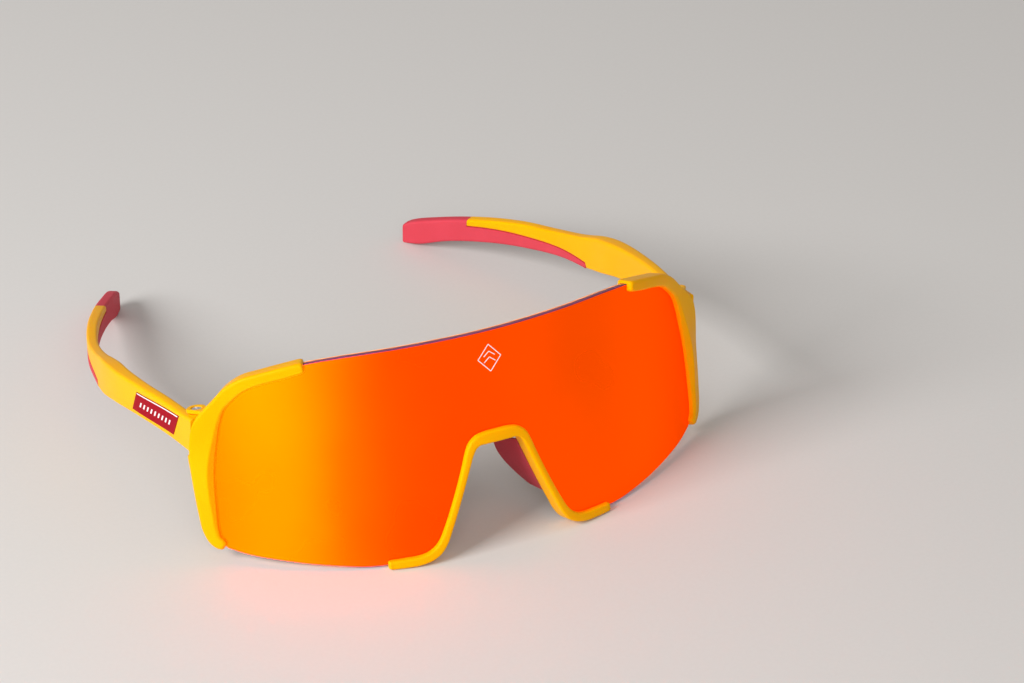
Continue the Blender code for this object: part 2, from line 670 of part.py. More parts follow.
def main():
    for old in list(bpy.data.objects):
        bpy.data.objects.remove(old, do_unlink=True)
    parts = bpy.data.collections.new("sport_sunglasses")
    cutters = bpy.data.collections.new("cutters")
    for collection in (parts, cutters):
        bpy.context.scene.collection.children.link(collection)

    yellow = material("yellow_plastic", (1.0, 0.52, 0.0), 0.25)
    mirror = material("mirror_lens", (1.0, 0.16, 0.0), 0.12, 0.9)
    rubber = material("crimson_rubber", (0.62, 0.03, 0.07), 0.6)
    enamel = material("badge_crimson", (0.45, 0.0, 0.03), 0.35)
    steel = material("screw_steel", (0.7, 0.7, 0.72), 0.25, 1.0)
    brass = material("insert_brass", (0.75, 0.55, 0.25), 0.3, 1.0)

    make_lens(mirror, parts)
    slot = make_lens_slot(cutters)
    floor = add_object("floor_cutter", world_box((-0.2, -0.2, -0.02), (0.2, 0.2, 0.0)), None,
                       cutters)
    make_nose_rim(yellow, parts, cutters, slot, floor)
    fixed = [make_side_rim(yellow, parts, cutters, slot),
             make_nose_pad(rubber, parts, cutters),
             make_screw(steel, parts),
             make_insert(brass, parts)]
    moving = [make_temple(yellow, parts, cutters),
              make_sleeve(rubber, parts, cutters, floor),
              make_badge(enamel, parts)]
    for piece in fixed:
        mirror_to_left(piece, parts)
    moving_left = [mirror_to_left(piece, parts) for piece in moving]
    hang_on_hinge("hinge_axis_right", moving, parts)
    hang_on_hinge("hinge_axis_left", moving_left, parts)


main()
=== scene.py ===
"""Looks of the wraparound sport sunglasses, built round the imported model.

+X is the viewer's right when the lens faces the viewer, +Y runs back along the temples, and +Z
is up. The lens has its own coordinates: s is the arc across it from the middle, h is the height
up it from mid-height, and depth is measured behind its front face.
"""

import math

import bmesh
import bpy
import numpy as np
from mathutils import Matrix, Vector


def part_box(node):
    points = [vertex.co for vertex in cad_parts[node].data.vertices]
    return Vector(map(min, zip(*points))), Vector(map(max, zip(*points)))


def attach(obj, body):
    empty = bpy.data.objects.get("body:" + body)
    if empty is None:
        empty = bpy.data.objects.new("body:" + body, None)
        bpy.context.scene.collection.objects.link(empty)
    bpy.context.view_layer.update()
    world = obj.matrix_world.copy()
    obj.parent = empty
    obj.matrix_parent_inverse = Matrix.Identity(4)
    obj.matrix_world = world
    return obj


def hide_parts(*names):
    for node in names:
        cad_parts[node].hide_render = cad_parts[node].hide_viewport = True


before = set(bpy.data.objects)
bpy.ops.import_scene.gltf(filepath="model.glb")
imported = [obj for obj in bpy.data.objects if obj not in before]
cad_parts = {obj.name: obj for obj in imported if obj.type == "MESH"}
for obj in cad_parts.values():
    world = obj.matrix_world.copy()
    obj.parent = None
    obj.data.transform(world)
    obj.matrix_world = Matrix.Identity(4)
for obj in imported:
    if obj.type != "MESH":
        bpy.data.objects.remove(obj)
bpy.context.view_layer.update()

MM = 0.001
FRONT_Y = -71.55 * MM       # the lens's front, at mid-height
SEAM = 0.08 * MM            # fine gap between pieces that meet

# Lens: part of a cylinder that leans back
LENS_RADIUS = 100.0 * MM
LENS_LEAN = math.radians(12.7)
LENS_THICKNESS = 2.0 * MM
LENS_MIDDLE_Z = 28.7 * MM
LENS_STRIP = 1.0 * MM
LENS_CHAMFER = 0.2 * MM
LENS_DARK_EDGE = 1.25 * MM      # the edge is dark from the front face down to this depth
LENS_REACH = 76.0 * MM          # arc that is cut into strips, each way from the middle

# Emblem on the lens, in millimetres
EMBLEM_CENTRE = (0.4, 20.8)
EMBLEM_TALL = 3.5               # half height of the lozenge
EMBLEM_WIDE = 3.1               # half width of the lozenge
CHEVRON_TIPS = (0.2, 1.7)       # height of each chevron's tip above the centre
CHEVRON_REACH = 1.5
CHEVRON_FALL = 1.2
PRINT_WIDTH = 0.26
PRINT_HEIGHT = 0.03
PRINT_ROOT = 0.02               # how far a printed line is sunk into its surface, or lifted off it

# Rims
RIM_PROUD = 1.6 * MM
RIM_PROUD_AT_HINGE = 2.8 * MM
RIM_PROUD_AT_BEVEL = 2.2 * MM
RIM_BEVEL = (0.45 * MM, 1.4 * MM)       # width of the side rim's bevel at its ends and middle
RIM_INNER_LIP = (1.2 * MM, 0.8 * MM)    # height of the bevel's low edge at its ends and middle
RIM_REAR = 3.2 * MM
RIM_END_ROUNDING = 0.9 * MM
SWELL = (11.0 * MM, 6.5 * MM)           # height and half length of the swelling at the hinge
BEVEL_HALF_LENGTH = 12.0 * MM

# Hinges
HINGE_X = 66.8 * MM
HINGE_BACK = 29.4 * MM
HINGE_Z = 33.8 * MM
CREASE_BACK = 27.0 * MM
TOP_LUG = (4.0 * MM, 5.0 * MM)
TOP_LUG_RADIUS = 2.6 * MM
TOP_LUG_ROOT = [(-2.3 * MM, -3.6 * MM), (0.3 * MM, -3.4 * MM)]
LOW_LUG = (-4.7 * MM, -2.9 * MM)
LOW_LUG_RADIUS = 2.0 * MM
LOW_LUG_ROOT = [(0.0, -3.2 * MM), (1.0 * MM, -3.0 * MM)]
TEMPLE_ROOM = (-6.6 * MM, 3.85 * MM)
BARREL = (-2.75 * MM, 3.75 * MM)
BARREL_RADIUS = 2.1 * MM
SOCKET_RADIUS = 2.3 * MM
SCREW_RADIUS = 0.7 * MM
SCREW_HEAD_RADIUS = 1.35 * MM
SCREW_HEAD = 0.5 * MM

# Temples, by distance behind the lens's front
STEP_BACK = 86.3 * MM
BORDER_BACK = 129.5 * MM
TIP_BACK = 148.6 * MM

BADGE_THICKNESS = 0.7 * MM
BADGE_PROUD = 0.1 * MM
# The badge's printed strokes, by fractions of its length and height
STROKES = 9
STROKE_START = 0.14
STROKE_PITCH = 0.085
STROKE_WIDTH = 0.03
STROKE_SPAN = (0.42, 0.66)

UP = Vector((0.0, math.sin(LENS_LEAN), math.cos(LENS_LEAN)))
FORWARD = Vector((0.0, -math.cos(LENS_LEAN), math.sin(LENS_LEAN)))
ACROSS = Vector((1.0, 0.0, 0.0))
LENS_AXIS = Vector((0.0, FRONT_Y, LENS_MIDDLE_Z)) - LENS_RADIUS * FORWARD
# The right hinge's frame: x outward, y back across the axis, z up the axis
HINGE = (Matrix.Translation((HINGE_X, FRONT_Y + HINGE_BACK, HINGE_Z))
         @ Matrix((ACROSS, -FORWARD, UP)).transposed().to_4x4())

# Half outlines (s, h) in millimetres, from the middle of the glasses outward
LENS_TOP = [(0.0, 27.9), (22.0, 27.9), (40.0, 27.5), (45.0, 27.1), (51.0, 25.9), (58.0, 24.1),
            (62.5, 22.3), (66.2, 18.8), (69.2, 14.6), (71.2, 10.4), (72.8, 5.5), (74.2, 0.5),
            (74.6, -5.0), (74.3, -11.0), (73.6, -15.5), (72.3, -18.4), (70.3, -20.2)]
LENS_BOTTOM = [(70.3, -20.2), (65.0, -22.0), (57.5, -23.7), (50.0, -25.2), (43.0, -26.4),
               (35.0, -27.5), (30.0, -27.6), (26.0, -27.2)]
NOSE_PATH = [(26.0, -27.2), (22.6, -27.1), (20.2, -26.5), (18.2, -25.4), (16.7, -23.7),
             (15.0, -20.3), (12.6, -14.9), (10.6, -9.9), (8.9, -5.4), (7.7, -2.2), (6.6, -0.3),
             (5.2, 0.6), (3.3, 0.85), (0.0, 0.9)]
# Rim centrelines as (s, h, half width), in millimetres
NOSE_RIM = [(31.0, -27.4, 1.1), (26.0, -27.5, 1.2), (22.6, -27.4, 1.2), (20.2, -26.8, 1.2),
            (18.2, -25.6, 1.2), (16.7, -23.8, 1.1), (15.0, -20.4, 1.0), (12.6, -14.9, 0.95),
            (10.6, -9.9, 0.95), (8.9, -5.4, 1.0), (7.7, -2.2, 1.1), (6.6, -0.3, 1.25),
            (5.2, 0.6, 1.4), (3.3, 0.85, 1.55), (0.0, 0.9, 1.6)]
SIDE_RIM = [(45.8, 26.5, 1.35), (50.6, 25.5, 1.5), (57.0, 24.2, 1.5), (61.5, 22.9, 1.7),
            (65.1, 20.6, 1.9), (67.9, 17.9, 1.9), (70.3, 14.7, 2.7), (72.5, 10.7, 3.6),
            (73.7, 5.6, 3.5), (74.2, 0.0, 3.0), (74.3, -5.0, 2.7), (74.2, -10.5, 2.4),
            (73.9, -15.0, 2.1), (73.0, -17.7, 1.7), (70.8, -19.4, 1.3)]

# Temple profile, in millimetres behind the lens's front: outer face x, thickness, top z, bottom z
TEMPLE_OUTER_X = [(27.0, 69.9), (40.0, 71.0), (55.0, 72.8), (70.0, 73.8), (78.0, 73.4),
                  (88.0, 71.7), (101.0, 69.0), (114.0, 64.3), (127.0, 57.8), (139.0, 50.8),
                  (150.0, 44.6)]
TEMPLE_THICKNESS = [(27.0, 3.0), (55.0, 3.2), (68.0, 3.9), (76.0, 4.1), (86.0, 3.1),
                    (110.0, 2.9), (135.0, 3.2), (150.0, 3.2)]
TEMPLE_TOP_Z = [(27.0, 37.9), (33.0, 36.7), (48.0, 34.5), (65.0, 31.2), (76.5, 28.7),
                (82.5, 26.9), (88.5, 24.5), (101.0, 20.8), (114.0, 18.1), (127.0, 14.6),
                (139.0, 10.4), (147.0, 6.8), (150.0, 4.8)]
TEMPLE_BOTTOM_Z = [(27.0, 28.0), (40.0, 26.4), (55.0, 24.1), (70.0, 20.7), (80.0, 17.6),
                   (86.0, 15.9)]
SLEEVE_BOTTOM_Z = [(86.0, 15.6), (97.0, 14.1), (110.0, 11.6), (124.0, 8.4), (136.0, 4.6),
                   (144.0, 0.9), (148.6, -0.3)]
CORE_BOTTOM_Z = [(86.0, 17.3), (94.0, 17.0), (110.0, 15.2), (124.0, 13.0), (130.0, 11.6)]

# Badge corners on the temple's side: front top, front bottom, rear bottom, rear top (back, z)
BADGE = [(33.4, 35.6), (36.8, 28.5), (58.4, 24.9), (55.6, 31.2)]

# Nose pad: (x, back, z) of its front edge and of its rear edge, top to bottom, in millimetres
PAD_FRONT = [(7.6, 3.4, 24.2), (10.0, 2.3, 18.6), (12.8, 1.3, 12.0), (14.2, 0.9, 8.6)]
PAD_REAR = [(4.6, 12.2, 21.2), (7.5, 13.0, 15.2), (10.9, 11.6, 10.0), (13.4, 8.4, 6.9)]
PAD_THICKNESS = 2.2 * MM
PAD_POST = (0.5 * MM, 1.5 * MM, 3.4 * MM)   # half thickness, half height, reach

SHARP_ANGLE = 32.0          # edges that bend more than this many degrees look sharp


# ---------------------------------------------------------------- geometry helpers

def smooth(table, x):
    """Value at x of a smooth curve through the (x, value) pairs of a table."""
    xs = np.array([row[0] for row in table])
    ys = np.array([row[1] for row in table])
    slopes = np.gradient(ys, xs)
    x = min(max(x, xs[0]), xs[-1])
    i = min(int(np.searchsorted(xs, x, side="right")) - 1, len(xs) - 2)
    width = xs[i + 1] - xs[i]
    t = (x - xs[i]) / width
    start = (1 + 2 * t) * (1 - t) ** 2 * ys[i] + t * (1 - t) ** 2 * width * slopes[i]
    end = t * t * (3 - 2 * t) * ys[i + 1] + t * t * (t - 1) * width * slopes[i + 1]
    return float(start + end)


def curve_through(points, step):
    """Points about a step apart on a smooth curve through the given rows of numbers."""
    rows = np.array(points, dtype=float)
    chords = np.linalg.norm(np.diff(rows[:, :2], axis=0), axis=1)
    along = np.concatenate([[0.0], np.cumsum(chords)])
    tables = [list(zip(along, rows[:, column])) for column in range(rows.shape[1])]
    stops = []
    for start, end in zip(along[:-1], along[1:]):
        pieces = max(1, round((end - start) / step))
        stops += [start + (end - start) * k / pieces for k in range(pieces)]
    stops.append(along[-1])
    return [tuple(smooth(table, stop) for table in tables) for stop in stops]


def on_lens(s, h, depth):
    """The point at arc s and height h on the lens, at a depth behind its front face."""
    angle = s / LENS_RADIUS
    out = math.sin(angle) * ACROSS + math.cos(angle) * FORWARD
    return LENS_AXIS + (LENS_RADIUS - depth) * out + h * UP


def loft(rings):
    """A closed bmesh through rings of points, with a cap at each end."""
    bm = bmesh.new()
    loops = [[bm.verts.new(point) for point in ring] for ring in rings]
    count = len(rings[0])
    for first, second in zip(loops[:-1], loops[1:]):
        for k in range(count):
            n = (k + 1) % count
            bm.faces.new((first[k], first[n], second[n], second[k]))
    bm.faces.new(loops[0])
    bm.faces.new(loops[-1])
    bmesh.ops.recalc_face_normals(bm, faces=bm.faces)
    return bm


def soften_ends(rings, radius, steps=4):
    """Round both ends of a loft over by a radius, without making it longer."""
    def rounded(first, second):
        centre = sum(first, Vector()) / len(first)
        inward = (sum(second, Vector()) / len(second) - centre).normalized()
        made = []
        for k in range(steps + 1):
            angle = math.pi / 2 * (1 - k / steps)
            shrink = radius * (1 - math.cos(angle))
            shift = radius * (1 - math.sin(angle))
            made.append([p + inward * shift - (p - centre).normalized() * shrink
                         for p in first])
        return made
    return rounded(rings[0], rings[1]) + rings[1:-1] + rounded(rings[-1], rings[-2])[::-1]


def rounded_section(corners, radii, steps=5):
    """Points round a convex polygon of (u, v) corners, each with its own rounding."""
    points = []
    count = len(corners)
    for k in range(count):
        corner = Vector(corners[k])
        before = Vector(corners[k - 1]) - corner
        after = Vector(corners[(k + 1) % count]) - corner
        reach = min(radii[k], 0.45 * before.length, 0.45 * after.length)
        start = corner + before.normalized() * reach
        end = corner + after.normalized() * reach
        for i in range(steps + 1):
            t = i / steps
            points.append((1 - t) ** 2 * start + 2 * t * (1 - t) * corner + t * t * end)
    return points


def hinge_prism(outline, span):
    """A prism along the hinge's axis, from an (x, y) outline in the hinge's frame."""
    return loft([[HINGE @ Vector((x, y, height)) for x, y in outline] for height in span])


def turned(profile, steps=48):
    """A (radius, height) profile turned round the hinge's axis."""
    bm = bmesh.new()
    verts = [bm.verts.new((radius, 0.0, height)) for radius, height in profile]
    edges = [bm.edges.new(pair) for pair in zip(verts[:-1], verts[1:])]
    bmesh.ops.spin(bm, geom=verts + edges, cent=(0, 0, 0), axis=(0, 0, 1),
                   angle=2 * math.pi, steps=steps, use_merge=True)
    bmesh.ops.remove_doubles(bm, verts=bm.verts, dist=1e-7)
    bmesh.ops.transform(bm, matrix=HINGE, verts=bm.verts)
    bmesh.ops.recalc_face_normals(bm, faces=bm.faces)
    return bm


def rod(radius, low, high, steps=48):
    """A cylinder round the hinge's axis."""
    return turned([(0.0, high), (radius, high), (radius, low), (0.0, low)], steps)


def joined(forms):
    """One bmesh from several, which are used up."""
    bm = bmesh.new()
    for form in forms:
        mesh = bpy.data.meshes.new("joined")
        form.to_mesh(mesh)
        form.free()
        bm.from_mesh(mesh)
        bpy.data.meshes.remove(mesh)
    return bm


def new_object(name, bm):
    """A linked object from a bmesh, which is used up."""
    mesh = bpy.data.meshes.new(name)
    bm.to_mesh(mesh)
    bm.free()
    made = bpy.data.objects.new(name, mesh)
    bpy.context.scene.collection.objects.link(made)
    return made


def discard(*objects):
    """Remove objects and their meshes."""
    for old in objects:
        mesh = old.data
        bpy.data.objects.remove(old)
        bpy.data.meshes.remove(mesh)


def carve(bm, steps):
    """Apply Boolean steps, each (bmesh, operation), to a bmesh and return the result."""
    for other, operation in steps:
        bmesh.ops.triangulate(other, faces=other.faces)
        target = new_object("target", bm)
        tool = new_object("tool", other)
        modifier = target.modifiers.new("carve", "BOOLEAN")
        modifier.operation = operation
        modifier.object = tool
        modifier.solver = "EXACT"
        bpy.context.view_layer.update()
        final = target.evaluated_get(bpy.context.evaluated_depsgraph_get())
        bm = bmesh.new()
        bm.from_mesh(final.to_mesh())
        final.to_mesh_clear()
        discard(target, tool)
    bmesh.ops.remove_doubles(bm, verts=bm.verts, dist=1e-6)
    bmesh.ops.dissolve_degenerate(bm, edges=bm.edges, dist=1e-6)
    return bm


def mirrored(bm):
    """The left twin of a right piece."""
    twin = bm.copy()
    bmesh.ops.scale(twin, vec=(-1.0, 1.0, 1.0), verts=twin.verts)
    bmesh.ops.reverse_faces(twin, faces=twin.faces)
    return twin


def add_piece(name, bm, materials, body, slot, nodes=(), weighted=True):
    """Turn a bmesh into a finished piece that rides on a body and stands for CAD nodes."""
    piece = new_object(name, bm)
    mesh = piece.data
    for finish in materials:
        mesh.materials.append(finish)
    mesh.shade_smooth()
    mesh.set_sharp_from_angle(angle=math.radians(SHARP_ANGLE))
    if weighted:
        modifier = piece.modifiers.new("even_shading", "WEIGHTED_NORMAL")
        modifier.keep_sharp = True
        modifier.weight = 60
    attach(piece, body)
    if nodes:
        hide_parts(*nodes)
    return piece


def add_pair(name, bm, materials, bodies, slot, node=None, **options):
    """Add a right piece and its left twin; bodies names the body of each."""
    twin = mirrored(bm)
    for side, form, body in (("right", bm, bodies[0]), ("left", twin, bodies[1])):
        nodes = (f"{node}_{side}",) if node else ()
        add_piece(f"{name}_{side}", form, materials, body, slot, nodes, **options)


# ---------------------------------------------------------------- materials

def new_material(name, color, roughness, metallic=0.0):
    """A material with its nodes, links and shader, for the functions below to work out."""
    made = bpy.data.materials.new(name)
    made.use_nodes = True
    shader = made.node_tree.nodes["Principled BSDF"]
    shader.inputs["Base Color"].default_value = (*color, 1.0)
    shader.inputs["Roughness"].default_value = roughness
    shader.inputs["Metallic"].default_value = metallic
    return made, made.node_tree.nodes, made.node_tree.links, shader


def noise(nodes, links, scale, detail=2.0, stretch=(1.0, 1.0, 1.0)):
    """A noise texture's value over the object, finer where scale is larger (per metre)."""
    place = nodes.new("ShaderNodeTexCoord")
    mapping = nodes.new("ShaderNodeMapping")
    mapping.inputs["Scale"].default_value = stretch
    links.new(place.outputs["Object"], mapping.inputs["Vector"])
    texture = nodes.new("ShaderNodeTexNoise")
    texture.inputs["Scale"].default_value = scale
    texture.inputs["Detail"].default_value = detail
    links.new(mapping.outputs["Vector"], texture.inputs["Vector"])
    return texture.outputs["Fac"]


def spread(nodes, links, value, low, high):
    """Map a noise value, which mostly lies between 0.3 and 0.7, to a range."""
    ranged = nodes.new("ShaderNodeMapRange")
    ranged.inputs["From Min"].default_value = 0.3
    ranged.inputs["From Max"].default_value = 0.7
    ranged.inputs["To Min"].default_value = low
    ranged.inputs["To Max"].default_value = high
    links.new(value, ranged.inputs["Value"])
    return ranged.outputs["Result"]


def vary_color(nodes, links, shader, factor, first, second):
    """Let the base colour run from one shade to another with a factor."""
    mix = nodes.new("ShaderNodeMix")
    mix.data_type = "RGBA"
    mix.inputs["A"].default_value = (*first, 1.0)
    mix.inputs["B"].default_value = (*second, 1.0)
    links.new(factor, mix.inputs["Factor"])
    links.new(mix.outputs["Result"], shader.inputs["Base Color"])


def add_bump(nodes, links, shader, value, distance):
    """Raise the surface's fine grain by up to a distance."""
    bump = nodes.new("ShaderNodeBump")
    bump.inputs["Distance"].default_value = distance
    bump.inputs["Strength"].default_value = 1.0
    links.new(value, bump.inputs["Height"])
    links.new(bump.outputs["Normal"], shader.inputs["Normal"])


def yellow_plastic():
    """Glossy moulded nylon: light goes a little way in, so its shades turn orange."""
    made, nodes, links, shader = new_material("yellow_plastic", (1.0, 0.45, 0.0), 0.36)
    tone = noise(nodes, links, 60.0)
    vary_color(nodes, links, shader, tone, (1.0, 0.42, 0.0), (1.0, 0.48, 0.0))
    grain = noise(nodes, links, 2600.0, 3.0)
    links.new(spread(nodes, links, grain, 0.34, 0.44), shader.inputs["Roughness"])
    add_bump(nodes, links, shader, grain, 0.012 * MM)
    shader.inputs["Specular IOR Level"].default_value = 0.14
    shader.inputs["Specular Tint"].default_value = (1.0, 0.7, 0.2, 1.0)
    shader.inputs["Subsurface Weight"].default_value = 0.3
    shader.inputs["Subsurface Radius"].default_value = (1.0, 0.3, 0.02)
    shader.inputs["Subsurface Scale"].default_value = 2.0 * MM
    return made


def mirror_coat():
    """The lens's front: a red-orange mirror coat that turns orange at grazing angles."""
    made, nodes, links, shader = new_material("mirror_coat", (1.0, 0.06, 0.0), 0.28, 1.0)
    facing = nodes.new("ShaderNodeLayerWeight")
    facing.inputs["Blend"].default_value = 0.45
    vary_color(nodes, links, shader, facing.outputs["Facing"], (1.0, 0.055, 0.0),
               (1.0, 0.16, 0.0))
    shader.inputs["Specular Tint"].default_value = (1.0, 0.18, 0.0, 1.0)
    haze = noise(nodes, links, 35.0, 2.0)
    links.new(spread(nodes, links, haze, 0.26, 0.31), shader.inputs["Roughness"])
    return made


def lens_back():
    """The lens's rear: dark smoke polycarbonate."""
    made, nodes, links, shader = new_material("lens_smoke", (0.06, 0.02, 0.012), 0.08)
    tone = noise(nodes, links, 25.0)
    vary_color(nodes, links, shader, tone, (0.05, 0.018, 0.01), (0.075, 0.024, 0.014))
    shader.inputs["Coat Weight"].default_value = 0.5
    shader.inputs["Coat Tint"].default_value = (1.0, 0.8, 0.9, 1.0)
    return made


def lens_edge(name, first, second, roughness):
    """The lens's cut edge, faintly streaked along by the cutter."""
    made, nodes, links, shader = new_material(name, first, roughness)
    streak = noise(nodes, links, 500.0, 2.0, (0.2, 1.0, 4.0))
    vary_color(nodes, links, shader, streak, first, second)
    return made


def soft_rubber(name, first, second):
    """Soft matt rubber with a fine grain, between two shades."""
    made, nodes, links, shader = new_material(name, first, 0.6)
    tone = noise(nodes, links, 120.0, 3.0)
    vary_color(nodes, links, shader, tone, first, second)
    grain = noise(nodes, links, 3200.0, 4.0)
    links.new(spread(nodes, links, grain, 0.5, 0.65), shader.inputs["Roughness"])
    add_bump(nodes, links, shader, grain, 0.03 * MM)
    shader.inputs["Specular IOR Level"].default_value = 0.12
    shader.inputs["Subsurface Weight"].default_value = 0.15
    shader.inputs["Subsurface Radius"].default_value = (1.0, 0.15, 0.1)
    shader.inputs["Subsurface Scale"].default_value = 1.2 * MM
    return made


def badge_enamel():
    """The badge's dark red face, with little shine."""
    made, nodes, links, shader = new_material("badge_crimson", (0.45, 0.0, 0.03), 0.3)
    tone = noise(nodes, links, 300.0, 2.0)
    vary_color(nodes, links, shader, tone, (0.3, 0.0, 0.008), (0.35, 0.002, 0.012))
    shader.inputs["Specular IOR Level"].default_value = 0.03
    return made


def white_print():
    """The white ink of the emblem and of the badge's line and strokes."""
    made, nodes, links, shader = new_material("white_print", (0.9, 0.85, 0.85), 0.4)
    tone = noise(nodes, links, 800.0, 2.0)
    vary_color(nodes, links, shader, tone, (0.86, 0.8, 0.8), (0.94, 0.9, 0.9))
    return made


def turned_metal(name, color):
    """Turned metal, streaked round the screw's axis."""
    made, nodes, links, shader = new_material(name, color, 0.2, 1.0)
    streak = noise(nodes, links, 1500.0, 2.0, (1.0, 1.0, 8.0))
    links.new(spread(nodes, links, streak, 0.14, 0.28), shader.inputs["Roughness"])
    add_bump(nodes, links, shader, streak, 0.004 * MM)
    return made


def pale_floor():
    """A plain matt table top."""
    made, nodes, links, shader = new_material("pale_floor", (0.7, 0.68, 0.66), 0.7)
    grain = noise(nodes, links, 900.0, 4.0)
    vary_color(nodes, links, shader, grain, (0.69, 0.67, 0.65), (0.72, 0.7, 0.68))
    return made


# ---------------------------------------------------------------- lens

def lens_outline(grow, fine=1.0):
    """The lens's closed outline in (s, h), in metres, moved outward by grow."""
    half = curve_through(LENS_TOP, 1.2 * fine)
    half += curve_through(LENS_BOTTOM, 1.5 * fine)[1:]
    half += curve_through(NOSE_PATH, 0.8 * fine)[1:]
    right = [Vector(point) * MM for point in half]
    left = [Vector((-point.x, point.y)) for point in reversed(right[1:-1])]
    outline = right + left
    count = len(outline)
    moved = []
    for k in range(count):
        along = (outline[(k + 1) % count] - outline[k - 1]).normalized()
        moved.append(outline[k] + grow * Vector((-along.y, along.x)))
    return moved


def lens_form(levels, strip, fine=1.0):
    """The lens from (grow, depth) levels, front to back, wrapped round its cylinder.

    The faces' material index is 0 in front, 1 behind, 2 on the edge's dark part and 3 on the
    rest of the edge.
    """
    bm = bmesh.new()
    loops = [[bm.verts.new((p.x, p.y, depth)) for p in lens_outline(grow, fine)]
             for grow, depth in levels]
    count = len(loops[0])
    for level, (first, second) in enumerate(zip(loops[:-1], loops[1:])):
        for k in range(count):
            n = (k + 1) % count
            face = bm.faces.new((first[k], first[n], second[n], second[k]))
            face.material_index = 2 if level < 2 else 3
    bm.faces.new(loops[0]).material_index = 0
    bm.faces.new(loops[-1]).material_index = 1
    strips = round(2 * LENS_REACH / strip)
    for k in range(strips + 1):
        place = -LENS_REACH + k * strip
        everything = bm.verts[:] + bm.edges[:] + bm.faces[:]
        bmesh.ops.bisect_plane(bm, geom=everything, dist=1e-7, plane_co=(place, 0.0, 0.0),
                               plane_no=(1.0, 0.0, 0.0))
    bmesh.ops.triangulate(bm, faces=bm.faces)
    for vert in bm.verts:
        vert.co = on_lens(*vert.co)
    bmesh.ops.recalc_face_normals(bm, faces=bm.faces)
    return bm


def lens_normals(mesh):
    """Give the lens's two big faces the exact normals of their cylinders."""
    normals = [Vector(corner.vector) for corner in mesh.corner_normals]
    for face in mesh.polygons:
        if face.material_index > 1:
            continue
        sign = 1.0 if face.material_index == 0 else -1.0
        for corner in face.loop_indices:
            arm = mesh.vertices[mesh.loops[corner].vertex_index].co - LENS_AXIS
            normals[corner] = sign * (arm - arm.dot(UP) * UP).normalized()
    mesh.normals_split_custom_set(normals)


def add_lens(coat, back, dark_edge, light_edge):
    """The shield lens, with its edges chamfered front and rear."""
    levels = [(-LENS_CHAMFER, 0.0), (0.0, LENS_CHAMFER), (0.0, LENS_DARK_EDGE),
              (0.0, LENS_THICKNESS - LENS_CHAMFER), (-LENS_CHAMFER, LENS_THICKNESS)]
    lens = add_piece("shield_lens", lens_form(levels, LENS_STRIP),
                     [coat, back, dark_edge, light_edge], "front", "mirror_lens", ("lens",),
                     weighted=False)
    lens_normals(lens.data)
    return lens


def lens_slot():
    """Cutter for the channels that hold the lens."""
    return lens_form([(SEAM, -SEAM), (SEAM, LENS_THICKNESS + SEAM)], 2.0 * MM, 1.5)


def line_on_lens(points):
    """A flat printed line on the lens's front through (s, h) points in millimetres."""
    rings = []
    for k, (s, h) in enumerate(points):
        before = Vector(points[max(k - 1, 0)])
        after = Vector(points[min(k + 1, len(points) - 1)])
        along = (after - before).normalized()
        side = Vector((-along.y, along.x)) * PRINT_WIDTH / 2
        section = [(side, PRINT_ROOT), (side * 0.8, -PRINT_HEIGHT), (-side * 0.8, -PRINT_HEIGHT),
                   (-side, PRINT_ROOT)]
        rings.append([on_lens((s + u.x) * MM, (h + u.y) * MM, v * MM) for u, v in section])
    return loft(rings)


def add_emblem(white):
    """A plain double chevron in a lozenge, printed above the nose."""
    centre = Vector(EMBLEM_CENTRE)
    strokes = [[(0.0, EMBLEM_TALL), (EMBLEM_WIDE, 0.0), (0.0, -EMBLEM_TALL),
                (-EMBLEM_WIDE, 0.0), (0.0, EMBLEM_TALL)]]
    for tip in CHEVRON_TIPS:
        strokes.append([(-CHEVRON_REACH, tip - CHEVRON_FALL), (0.0, tip),
                        (CHEVRON_REACH, tip - CHEVRON_FALL)])
    lines = []
    for stroke in strokes:
        for start, end in zip(stroke[:-1], stroke[1:]):
            points = [tuple(centre + Vector(start).lerp(Vector(end), t))
                      for t in np.linspace(0.0, 1.0, 7)]
            lines.append(line_on_lens(points))
    add_piece("lens_emblem", joined(lines), [white], "front", "mirror_lens", weighted=False)


# ---------------------------------------------------------------- rims

def rim_rings(path, corners, radii):
    """Sections of a rim along a path of (s, h, half width) on the lens."""
    rows = [(s * MM, h * MM, w * MM) for s, h, w in path]
    rings = []
    for k, (s, h, w) in enumerate(rows):
        before = rows[max(k - 1, 0)]
        after = rows[min(k + 1, len(rows) - 1)]
        along = Vector((after[0] - before[0], after[1] - before[1])).normalized()
        outward = Vector((-along.y, along.x))
        rings.append([on_lens(s + outward.x * u, h + outward.y * u, v)
                      for u, v in rounded_section(corners(h, w), radii)])
    return soften_ends(rings, RIM_END_ROUNDING, 6)


def side_rim_corners(h, w):
    """Section of a side rim: it swells before the hinge and is bevelled beside the lens."""
    swell = math.exp(-((h - SWELL[0]) / SWELL[1]) ** 2)
    outer = RIM_PROUD + (RIM_PROUD_AT_HINGE - RIM_PROUD) * swell
    share = math.exp(-(h / BEVEL_HALF_LENGTH) ** 2)
    inner = RIM_PROUD + (RIM_PROUD_AT_BEVEL - RIM_PROUD) * share
    bevel = RIM_BEVEL[0] + (RIM_BEVEL[1] - RIM_BEVEL[0]) * share
    edge = RIM_INNER_LIP[0] + (RIM_INNER_LIP[1] - RIM_INNER_LIP[0]) * share
    return [(-w, -edge), (bevel - w, -inner), (w, -outer), (w, RIM_REAR), (-w, RIM_REAR)]


def nose_rim_corners(_h, w):
    """Section of the nose rim: a plain channel."""
    return [(-w, -RIM_PROUD), (w, -RIM_PROUD), (w, RIM_REAR), (-w, RIM_REAR)]


